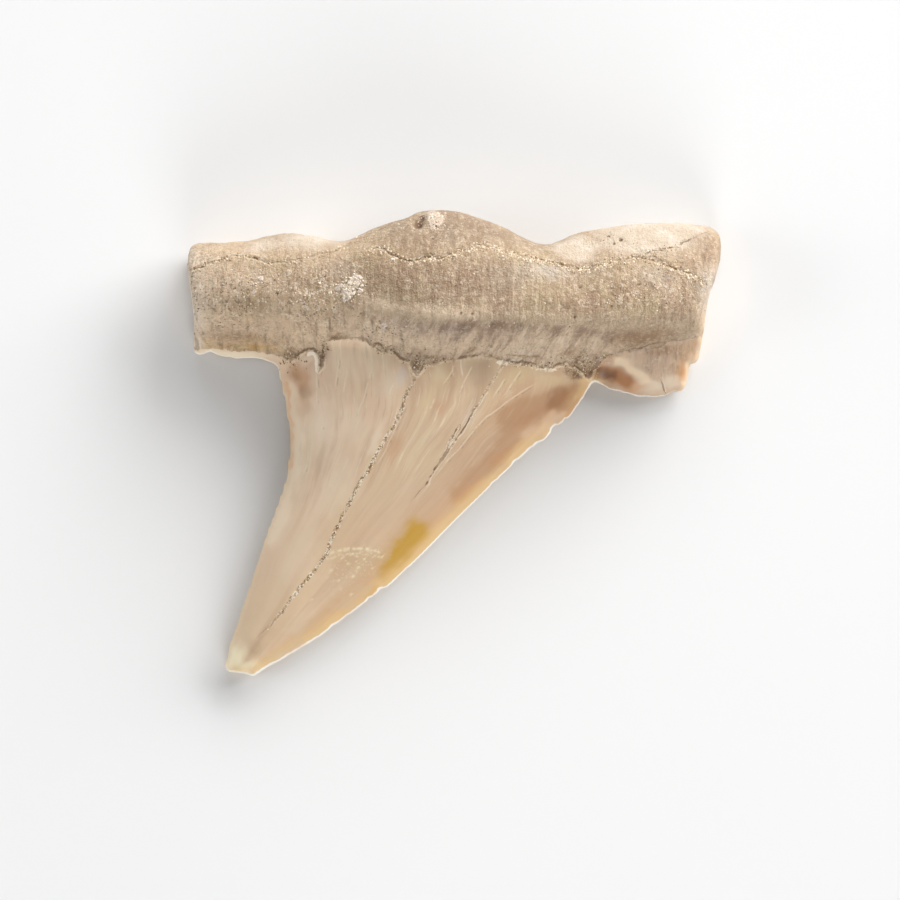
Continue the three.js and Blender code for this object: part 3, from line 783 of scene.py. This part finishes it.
finish, w = new_finish("fossil enamel and bone")
in_mm = w.stretch((1, 1, 1))
clouds = w.grain(in_mm, 0.16, 3, 0.55)
other_clouds = w.grain(w.stretch((0.22, 0.22, 0.22), 40))
mottle = w.grain(in_mm, 0.45, 4, 0.62)
lumps = w.grain(in_mm, 1.5, 4, 0.7)
grit = w.grain(in_mm, 3.2, 4, 0.7)
dust = w.grain(in_mm, 7.0, 2, 0.6)
broken = w.grain(in_mm, 0.9, 3, 0.6)
wander = w.node("ShaderNodeTexNoise", {"noise_dimensions": "3D"},
                {"Vector": in_mm, "Scale": 2.0, "Detail": 2.0}, "Color")
warped = w.node("ShaderNodeVectorMath", {"operation": "ADD"}, {0: in_mm, 1: wander})
cells = w.crumbs(warped, 3.6)
dots = w.crumbs(warped, 5.0)
fibres = w.grain(w.stretch((2.6, 0.3, 0.8)), roughness=0.7)
broad_fibres = w.grain(w.stretch((0.9, 0.12, 0.3), 3))
fine_fibres = w.grain(w.stretch((5.5, 0.45, 1.2)), 1.0, 2, 0.5)
slants = w.grain(w.stretch((1.1, 0.14, 0.3), 30))
fine_slants = w.grain(w.stretch((2.6, 0.35, 0.6), 26))
hairs = w.grain(w.stretch((1.8, 0.09, 0.3), -2), 1.0, 2, 0.5)

inside_wire = w.mask("inside") + 0.5 * (grit - 0.5) + 0.35 * (lumps - 0.5)
enamel_wire = inside_wire.between(-0.06, 0.06)
down = w.mask("down")
side_to_side = w.mask("across")
lengthways = side_to_side + 0.05 * (w.grain(in_mm, 0.2, 2, 0.5) - 0.5)
bands = w.flow(lengthways, down, 5, 2, 12.0)
streaks = w.flow(lengthways, down, 13, 4, 0.0)
wisps = w.flow(lengthways, down, 34, 6, 4.0)
threads = w.flow(lengthways, down, 95, 11, 8.0)

# Bone: sandy tan, fibrous above the crest, streaked on the neck, smooth cream on the basal faces; a painted
# highlight runs along the crest and painted shade just under it.
# Besides stains: "shade" is painted shade, and "light neck", "narrow end" and "narrow rim" are paler bone,
# partly its own colour and partly painted light where the lamps leave the down-facing neck and the narrow
# end dim.
BONE_STAINS_AND_PAINTED_LIGHT = [  # patch, amount, colour
    ("middle", 0.65, "8c735a"), ("narrow end", 0.9, "e6caac"), ("dusk", 0.7, "a27c50"),
    ("light neck", 0.7, "f0d2ac"), ("olive bone", 0.5, "a8946c"), ("lilac", 0.6, "ac948e"),
    ("smooth neck", 0.8, "ead0ae"), ("ochre", 0.9, "d8ae62"), ("wide rim", 0.8, "f0dfcc"),
    ("brown bone", 0.5, "8e6c54"), ("silver", 0.6, "beb6ac"), ("grey hump", 0.55, "938270"),
    ("narrow rim", 0.8, "fff0dc"), ("shade", 0.5, "80684f"),
]
above_crest_wire = w.mask("above_crest") + 1.1 * (lumps - 0.5) + 1.4 * (mottle - 0.5)
above_fold_wire = w.mask("above_fold")
neck = above_crest_wire.between(0.4, -1.0)
smooth = w.mask("cream").between(0.1, 0.6)
rough = 1 - smooth
peppery = (0.25 + 0.75 * w.mask("peppered")) * rough
# A painted highlight along the root's crest, strongest in the patch listed for it.
crest_highlight = (0.35 + 0.6 * w.mask("bright crest")) * above_crest_wire.between(3.6, 1.0) * (1 - neck)
dark_fibres = fibres.between(0.48, 0.66) * clouds.between(0.35, 0.6) * rough
combed = rough * above_fold_wire.between(-1, -4) * (1 - 0.6 * neck) * mottle.between(0.35, 0.6)
slanted = w.mask("slanted")
# Dark slanting streaks in a band just under the crest: partly streaks in the bone, partly painted shade
# below the crest's step.
streaks_and_shade_under_crest = abs(above_crest_wire + 1.2).between(1.4, 0.2) * slants.between(0.36, 0.56)
bone_colour = w.over(w.mix(mottle.between(0.35, 0.65), "a98f72", "bea688"), [
    (0.5 * clouds.between(0.45, 0.62), "b5957f"),
    (0.5 * other_clouds.between(0.5, 0.66), "a5946f"),
    (0.5 * above_fold_wire.between(-6.5, -1.5) * (1 - neck), "b69c7d"),
    # painted highlight along the crest
    (crest_highlight, "e8d0b2"),
    # The neck is painted paler: partly its own colour, partly painted light for the lamps' light its
    # down-facing slope misses.
    (0.9 * neck, w.mix(mottle.between(0.35, 0.65), "dcc1a5", "edd5b8")),
    *[(amount * w.mask(name), colour) for name, amount, colour in BONE_STAINS_AND_PAINTED_LIGHT],
    (0.35 * dark_fibres, "86684c"),
    (0.3 * (1 - fibres).between(0.5, 0.66), "dcc6a8"),
    (0.2 * broad_fibres.between(0.52, 0.64) * rough, "8d7156"),
    (0.2 * (1 - broad_fibres).between(0.52, 0.64) * rough, "d8c0a0"),
    (0.26 * combed * fine_fibres.between(0.52, 0.62), "7c6249"),
    (0.2 * combed * (1 - fine_fibres).between(0.52, 0.62), "dcc8ac"),
    # streaks under the crest, partly painted shade
    (0.42 * slanted * streaks_and_shade_under_crest, "806450"),
    (0.5 * neck * slanted * slants.between(0.5, 0.62), "8a6c55"),
    (0.4 * neck * slanted * (1 - slants).between(0.54, 0.64), "f0dcc2"),
    (0.25 * neck * slanted * fine_slants.between(0.52, 0.62), "7e6450"),
    (0.45 * neck * (1 - slanted) * hairs.between(0.58, 0.66), "8a6e58"),
    (smooth * mottle.between(0.1, 0.4), w.mix(mottle.between(0.4, 0.7), "cbb9a3", "dccdbd")),
    (0.35 * smooth * grit.between(0.56, 0.66), "a68a6c"),
    (0.55 * peppery * cells.between(0.88, 0.94), "6b5038"),
    (0.85 * peppery * cells.between(0.18, 0.1), "f2e2ce"),
    (0.4 * grit.between(0.56, 0.68) * rough, "e6d2b6"),
    (0.4 * (1 - grit).between(0.56, 0.68) * rough, "735942"),
])
bone_colour = w.mix(0.3, bone_colour, dust, "SOFT_LIGHT")
crusty = (w.mask("crust") + 0.5 * (grit - 0.5) + 0.4 * (lumps - 0.5)).between(0.36, 0.46)
gritty = grit.between(0.35, 0.6)
# The crust on top of the hump is a darker copy of the lower crust's colours: painted shade, as it faces the
# lamps.
low_crust, shaded_hump_crust = w.mix(gritty, "cdb5a4", "f2e0d4"), w.mix(gritty, "b09a84", "d4c2b0")
bone_colour = w.mix(0.95 * crusty, bone_colour, w.mix(down.between(0.79, 0.82), low_crust, shaded_hump_crust))

# Enamel: cream, pinkish where thick, with a painted glow of orange then pale yellow towards the thin cutting
# edges, where light would shine through, and a painted white highlight along them. The wide heel's is worn
# through to the fibrous dentine.
# Besides stains: "highlight" is a painted highlight, "heel light" and "hollow light" are painted light,
# "edge glow" is a painted glow of light through the thin edge, and "tip" and "tongue" are partly their own
# pale colour and partly painted light.
ENAMEL_STAINS_AND_PAINTED_LIGHT = [
    ("tan", 0.5, "c69168"), ("olive", 0.5, "dac49a"), ("grey", 0.7, "d0c4be"), ("dove", 0.6, "b0967e"),
    ("flushed", 0.5, "cfae92"), ("pale", 0.6, "f0dec4"), ("rosy", 0.8, "b39274"), ("orange", 0.6, "d08f52"),
    ("dull", 0.65, "b48860"), ("umber", 0.58, "a4764e"), ("brown", 0.62, "84542c"),
    ("shoulder", 0.8, "cb9c72"), ("dark shoulder", 0.6, "a2744c"), ("heel brown", 0.95, "a86820"),
    ("highlight", 0.75, "f6ddb8"), ("worn", 0.5, "c6a880"), ("tip", 1.0, "fff0cc"),
    ("smear", 0.2, "a88868"), ("gold", 0.75, "dca84e"), ("amber", 0.95, "c2941e"),
    ("edge light", 0.38, "f0d6ba"), ("hollow light", 0.65, "f8e4c8"), ("tongue", 0.55, "f2dcc0"),
    ("crown top", 0.52, "f2dcc0"), ("edge glow", 0.55, "e0a266"), ("heel light", 0.62, "fff0d2"),
]
upper = down.between(0.15, 0.5)
thread_light = threads.between(0.58, 0.66) * mottle.between(0.36, 0.6) * down.between(0.2, 0.5)
thread_dark = (1 - threads).between(0.6, 0.68) * mottle.between(0.62, 0.4) * down.between(0.35, 0.55)
bevel = side_to_side.between(0.6, 0.76) * down.between(0.02, 0.12)
stains_and_painted_light = []
for name, amount, colour in ENAMEL_STAINS_AND_PAINTED_LIGHT:
    spread = (w.mask(name) + 0.3 * (mottle - 0.5) + 0.2 * (lumps - 0.5)).between(0.05, 0.95)
    stains_and_painted_light.append((amount * spread, colour))
worn_heel = w.mask("rosy")
rim = w.mask("rim") + 0.15 * (grit - 0.5)
patchy = w.grain(w.stretch((0.3, 0.3, 0.3), 15), 1.0, 2, 0.5).between(0.36, 0.6)
white_rim_highlight, yellow_rim_glow = w.mask("white rim"), w.mask("yellow rim")
side_wall = (w.mask("wall") + 0.5 * (lumps - 0.5)).between(0.4, 1.0)
pale_gap_wire, pale_open_wire = w.mask("pale_gap"), w.mask("pale_open")
pale_line = pale_open_wire * abs(pale_gap_wire).between(0.24, 0.06) * lumps.between(0.34, 0.5)
pale_shadow = pale_open_wire * abs(pale_gap_wire - 0.3).between(0.22, 0.08) * lumps.between(0.5, 0.6)
enamel_colour = w.over(w.mix(side_to_side.between(0.15, 0.55), "eccfb2", "d3b798"), [
    (down.between(0.4, 0.1), "e0c4a2"),
    (0.5 * clouds.between(0.4, 0.6), "d6b895"),
    (0.4 * bands.between(0.5, 0.66), "c8a488"),
    (0.3 * (1 - bands).between(0.52, 0.66), "dcc8a2"),
    (0.45 * upper * streaks.between(0.5, 0.64), "bc9a7c"),
    (0.45 * upper * (1 - streaks).between(0.52, 0.66), "e6d4b2"),
    (0.32 * upper * wisps.between(0.54, 0.68), "e8d8bc"),
    (0.27 * upper * (1 - wisps).between(0.54, 0.68), "b08f74"),
    (0.55 * thread_light, "f2e4cc"),
    (0.38 * thread_dark, "9a7e64"),
    (0.4 * bevel, "c09872"),
    *stains_and_painted_light,
    (0.5 * worn_heel * fibres.between(0.48, 0.6), "846a52"),
    (0.4 * worn_heel * (1 - fine_fibres).between(0.52, 0.62), "d8c0a2"),
    (0.4 * worn_heel * grit.between(0.56, 0.62), "e6d2b8"),
    # Towards the thin edges: a painted glow of orange then yellow for light through the thin enamel, a pale
    # band, and a painted white highlight along the long edge.
    (0.4 * (rim.between(5.6, 1.4) * yellow_rim_glow * patchy), "cf9458"),
    (0.7 * (rim.between(3.2, 0.7) * yellow_rim_glow * (0.45 + 0.55 * patchy)), "e8c68a"),
    (0.5 * rim.between(1.0, 0.3) * (1 - white_rim_highlight), "ead2b0"),
    (0.95 * rim.between(0.38, 0.18) * (0.7 + 0.3 * patchy) * white_rim_highlight, "fffaf2"),
    (0.8 * side_wall, w.mix(mottle.between(0.35, 0.65), "dcc3a2", "eedcc2")),
    (0.4 * pale_line, "f0e2c8"),
    (0.3 * pale_shadow, "8e7458"),
    (0.6 * w.mask("worn") * grit.between(0.54, 0.62), "efdfbe"),
    (0.8 * w.mask("wear") * grit.between(0.38, 0.52), "f0e2bc"),
])

# What lies over both: mud and a dark line at the enamel's edge, a painted highlight on its broken lip and
# chips, the cracks, and painted shade in the pits.
deep_brown = (w.mask("deep brown") + 0.6 * (lumps - 0.5)).between(0.25, 1.1)
# White chips along the lip at the tongue and farther right: partly real chips, partly painted highlight
# where the broken edge catches the light.
flakes = w.mask("tongue lip") + w.mask("flakes") * (0.4 + 0.6 * grit.between(0.4, 0.6))
chips_and_highlight = (flakes + 0.7 * (lumps - 0.5)).between(0.5, 0.75)
muddy = (w.mask("mud") + 0.6 * (lumps - 0.5) + 0.5 * (grit - 0.5)).between(0.4, 0.8)
# A painted highlight along the enamel's broken upper lip, where the raised edge faces the light, broken up
# by grit.
lip = w.mask("lip") * abs(inside_wire - 0.3 + 0.5 * (lumps - 0.5)).between(0.36, 0.16)
lip = lip * (0.5 * grit + 0.5 * lumps).between(0.44, 0.5)
# A dark brown line beside the enamel's upper edge, in the groove.
beside_edge = abs(inside_wire + 0.16 + 0.3 * (lumps - 0.5)).between(0.34, 0.08)
dark_edge_line = w.mask("grooved") * beside_edge * broken.between(0.4, 0.54)
crack_gap_wire, crack_open_wire = w.mask("crack_gap"), w.mask("crack_open")
filled = w.mask("crack_sand")
crack_line = crack_gap_wire + 0.5 * (lumps - 0.5)
sandy = filled * abs(crack_line).between(0.42, 0.24) * (0.6 * broken + 0.4 * grit).between(0.34, 0.46)
sand_dots = dots + 0.35 * crack_gap_wire
sand_colour = w.mix(sand_dots.between(0.2, 0.28), "85623c", "c8a87e")
sand_colour = w.mix(sand_dots.between(0.48, 0.56), sand_colour, "f8ecd8")
hair_line = abs(crack_gap_wire + 0.12 * (lumps - 0.5)).between(0.19, 0.08)
seam = crack_open_wire * (1 - 0.85 * filled) * hair_line * broken.between(0.34, 0.46)
chalk_line = crack_open_wire * (1 - filled) * abs(crack_line - 0.3).between(0.16, 0.06)
colour = w.over(w.mix(enamel_wire, bone_colour, enamel_colour), [
    (0.8 * deep_brown, "64380e"),
    (0.6 * w.mask("dark_line") * mottle.between(0.35, 0.5), "6e523c"),
    (0.85 * chips_and_highlight, "fff4e0"),
    (0.6 * muddy, w.mix(dots.between(0.4, 0.6), "74573a", "bd9e78")),
    # painted highlight on the lip
    (0.75 * lip, "f2e0c2"),
    (0.62 * dark_edge_line, "745030"),
    (0.85 * sandy, sand_colour),
    (0.85 * seam, "56381f"),
    (0.5 * chalk_line * enamel_wire, "efe0c8"),
    # painted shade in the pits
    (0.8 * w.mask("pitted").between(0.15, 0.7), "6c4c30"),
])

roughness = 0.66 - 0.18 * enamel_wire + 0.2 * (grit - 0.5)
roughness_of_bone = 1.0 * lumps + 0.8 * grit + 0.5 * fibres + 0.4 * dust - 1.35
height = 0.15 * enamel_wire * (wisps - 0.5) + (1 - enamel_wire) * roughness_of_bone
RELIEF = 0.0003  # how deep the finish's own fine relief is, in metres
GLOW = 0.0008  # how far light spreads inside the tooth, in metres
relief = w.node("ShaderNodeBump", inputs={"Strength": 0.8, "Distance": RELIEF, "Height": height})
w.finish_with({
    "Base Color": colour, "Roughness": roughness, "Normal": relief, "Coat Weight": 0.12 * enamel_wire,
    "Coat Roughness": 0.35, "IOR": 1.5, "Subsurface Weight": 0.12, "Subsurface Scale": GLOW,
    "Subsurface Radius": (1.0, 0.55, 0.3),
})
skin.materials.clear()
skin.materials.append(finish)

# ---- Sand grains ----------------------------------------------------------------------------
# Phosphate sand from the bed the tooth was buried in: angular cream, tan and dark grains a tenth to a third
# of a millimetre across, packed in the cracks and the folds and stuck in ones and twos to the bone.
SMALLEST, LARGEST = 0.16, 0.7
ABOVE_ALL = 60  # a height above the whole tooth, from which grains fall
STEEPEST_HOLD = 0.15  # a grain stays only where the surface is turned up more than this
IN_CLUMPS = 0.65  # the share of a crack's grains that lie in clumps
GRAIN_SEED = 7
# Crack: grains, how far they lie from it and spread, middle size, darkest shade, and how thickly they lie
# from its start to its end.
LODES = {
    "long": (400, (0.12, 0), 0.2, 0.23, 0.15, [(0, 1), (0.55, 1), (0.8, 0.6), (1, 0)]),
    "short": (90, (0.12, 0), 0.2, 0.25, 0.25, [(0, 1), (0.26, 1), (0.34, 0.2), (0.5, 0.06), (1, 0)]),
    "fold narrow": (420, (0, -0.35), 0.35, 0.3, 0.15, [(0, 1), (0.3, 0.8), (0.5, 0.5), (1, 0.5)]),
    "fold middle": (1300, (0, -0.4), 0.42, 0.36, 0.2, [(0, 0.6), (0.06, 1), (0.25, 1), (0.3, 0.8), (0.5, 1),
        (0.7, 0.7), (1, 0.8)]),
    "fold wide": (70, (0, -0.2), 0.35, 0.28, 0.15, [(0, 0), (0.2, 1), (1, 1)]),
    "heel": (60, (0, 0), 0.3, 0.24, 0.2, [(0, 1), (0.4, 0.6), (1, 0.1)]),
}
# Grains stuck on the surface: middle, radii and number.
LOOSE = [
    ((8, 69), (6.5, 4.5), 340), ((14, 72), (5, 3), 80), ((24, 69.5), (5, 4.5), 260),
    ((30, 70.5), (4, 3), 90), ((37, 64), (3, 1.6), 90), ((1.2, 70), (1.2, 6), 160), ((52, 71), (16, 6), 60),
    ((84, 71), (11, 4), 200), ((73.6, 58), (3.6, 1.8), 220), ((43.4, 58.0), (1.6, 2.2), 80),
    ((19.5, 58.8), (2.2, 2), 120), ((92, 76), (6, 4), 50), ((46, 83), (5, 2.5), 50),
    ((80.5, 80.4), (3.2, 1.6), 30), ((66, 57.6), (5, 0.5), 110), ((26, 60.5), (0.8, 2.2), 60),
    ((38, 60.5), (3, 0.8), 80), ((63, 76), (5, 2), 70), ((46.5, 58.4), (3, 0.4), 50),
]
# Larger white grains in the crusts: middle, radii and number.
CRYSTALS = [
    ((31.4, 72.6), (1.6, 1.4), 150), ((30.4, 70.8), (1.4, 1.2), 90), ((46.4, 85), (1.8, 1.2), 50),
    ((14, 73), (1, 2), 8), ((27, 71), (3, 2), 12),
]
chance = random.Random(GRAIN_SEED)
surface = BVHTree.FromPolygons([Vector(p) for p in places], [tuple(f.vertices) for f in skin.polygons])

blank = bmesh.new()
bmesh.ops.create_icosphere(blank, subdivisions=1, radius=1)
blank_points = np.array([vert.co[:] for vert in blank.verts])
blank_faces = [tuple(vert.index for vert in face.verts) for face in blank.faces]
blank.free()
grain_points, grain_faces, grain_tones = [], [], []


def drop_grain(u, v, middle_size, shade):
    """Lands one angular grain on the tooth from above, sunk in by half its size."""
    size = min(max(chance.gauss(middle_size, middle_size / 3), SMALLEST), LARGEST)
    turn = np.array(Vector([chance.gauss(0, 1) for _ in range(3)]).to_track_quat("Z", "Y").to_matrix())
    shape = np.array([chance.uniform(0.55, 1.2) for _ in range(3)])
    jitter = 1 + 0.22 * np.array([chance.uniform(-1, 1) for _ in range(len(blank_points))])[:, None]
    hit, normal, _, _ = surface.ray_cast(Vector((u, v, ABOVE_ALL)), Vector((0, 0, -1)))
    if hit is None or normal.z < STEEPEST_HOLD:
        return
    first = len(grain_points) * len(blank_points)
    grain_faces.extend(tuple(corner + first for corner in face) for face in blank_faces)
    grain_points.append((blank_points * jitter * shape) @ turn.T * size / 2 + hit)
    grain_tones.append(shade)


def scatter(heaps, tightness, middle_size, darkest, lightest):
    """Drops each heap's number of grains about its middle."""
    for middle, radii, count in heaps:
        for _ in range(count):
            place = [chance.gauss(centre, radius / tightness) for centre, radius in zip(middle, radii)]
            drop_grain(*place, middle_size, chance.uniform(darkest, lightest))


for name, (count, shift, spread, middle_size, darkest, thickness) in LODES.items():
    route = crack_routes[name]
    lengths = np.concatenate([[0], np.cumsum(np.linalg.norm(np.diff(route, axis=0), axis=1))])
    clumps = [chance.uniform(0, 1) for _ in range(max(6, count // 12))]
    for _ in range(count):
        clumped = chance.random() < IN_CLUMPS
        along = chance.choice(clumps) + chance.gauss(0, 0.006) if clumped else chance.uniform(0, 1)
        if chance.random() > read_off(thickness, along):
            continue
        on_route = [np.interp(along * lengths[-1], lengths, column) for column in route.T]
        place = [centre + chance.gauss(aside, spread) for centre, aside in zip(on_route, shift)]
        drop_grain(*place, middle_size, chance.uniform(darkest, 0.95))
scatter(LOOSE, tightness=1.6, middle_size=0.27, darkest=0, lightest=0.9)
scatter(CRYSTALS, tightness=1.8, middle_size=0.34, darkest=0.75, lightest=1)

grain_mesh = bpy.data.meshes.new("sand grains")
grain_mesh.from_pydata(from_place(np.concatenate(grain_points)).tolist(), [], grain_faces)
store(grain_mesh, "tone", np.repeat(grain_tones, len(blank_points)))
grains = put_in_scene("sand_grains", grain_mesh)

grain_finish, g = new_finish("phosphate sand")
stops = [
    (0.0, tone("6b543c")), (0.14, tone("96795a")), (0.3, tone("bfa484")), (0.55, tone("d8c3a4")),
    (0.8, tone("eadbc4")), (1.0, tone("f5ebdd")),
]
grain_colour = g.node("ShaderNodeValToRGB", {"stops": stops}, {"Fac": g.mask("tone")})
g.finish_with({"Base Color": grain_colour, "Roughness": 0.6})
grain_mesh.materials.append(grain_finish)
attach(grains, "root")

# ---- Ground, light and camera ---------------------------------------------------------------
# A plain pale floor under five wide, low lamps: the two strongest shine from the wide end and from beside
# the root, a weaker one from above the root, and two fill in from the tip's side and the narrow end. The
# camera looks straight down.
FLOOR_SIZE = 2.2
FLOOR_COLOUR = "ededed"
half = FLOOR_SIZE / 2
corners = [(-half, -half, 0), (half, -half, 0), (half, half, 0), (-half, half, 0)]
floor_mesh = bpy.data.meshes.new("floor")
floor_mesh.from_pydata(corners, [], [(0, 1, 2, 3)])
floor = put_in_scene("floor", floor_mesh)
floor_finish, f = new_finish("pale floor")
f.finish_with({"Base Color": tone(FLOOR_COLOUR), "Roughness": 0.9})
floor_mesh.materials.append(floor_finish)

# The studio's walls are white to the eye, and give the tooth only a little light.
WALL_LIGHT = 0.19
WALL_WHITE = 1.0
scene = bpy.context.scene
scene.view_settings.view_transform = "Standard"
world = bpy.data.worlds.new("studio")
world.use_nodes = True
world.node_tree.nodes.clear()
s = Wire(world.node_tree)
seen = s.node("ShaderNodeLightPath", output="Is Camera Ray")
strength = WALL_LIGHT + (WALL_WHITE - WALL_LIGHT) * seen
backdrop = s.node("ShaderNodeBackground", inputs={"Color": (1, 1, 1, 1), "Strength": strength})
s.node("ShaderNodeOutputWorld", inputs={"Surface": backdrop})
scene.world = world

LAMP_DISTANCE = 1.2
LAMP_WIDTH = 0.7
# Direction from +X and height in degrees, and power.
LAMPS = [
    ("right", 30, 24, 9.6), ("upper right", 60, 22, 11.4), ("top", 90, 28, 4.2), ("fill", -80, 22, 6.9),
    ("left", 180, 24, 3.8),
]
for name, direction, height, power in LAMPS:
    light = bpy.data.lights.new(name, "AREA")
    light.shape = "DISK"
    light.size = LAMP_WIDTH
    light.energy = power
    lamp = put_in_scene(name, light)
    out, up = math.cos(math.radians(height)), math.sin(math.radians(height))
    sideways = Vector((math.cos(math.radians(direction)) * out, math.sin(math.radians(direction)) * out, up))
    lamp.location = LAMP_DISTANCE * sideways
    lamp.rotation_euler = (-sideways).to_track_quat("-Z", "Y").to_euler()

CAMERA_PLACE = (-0.0003, -0.0008, 1.0)
FRAME_WIDTH = 0.0841
FILM_WIDTH = 36
eye = bpy.data.cameras.new("eye")
eye.lens = FILM_WIDTH * CAMERA_PLACE[2] / FRAME_WIDTH
eye.clip_end = 10
camera = put_in_scene("camera", eye)
camera.location = CAMERA_PLACE
scene.camera = camera
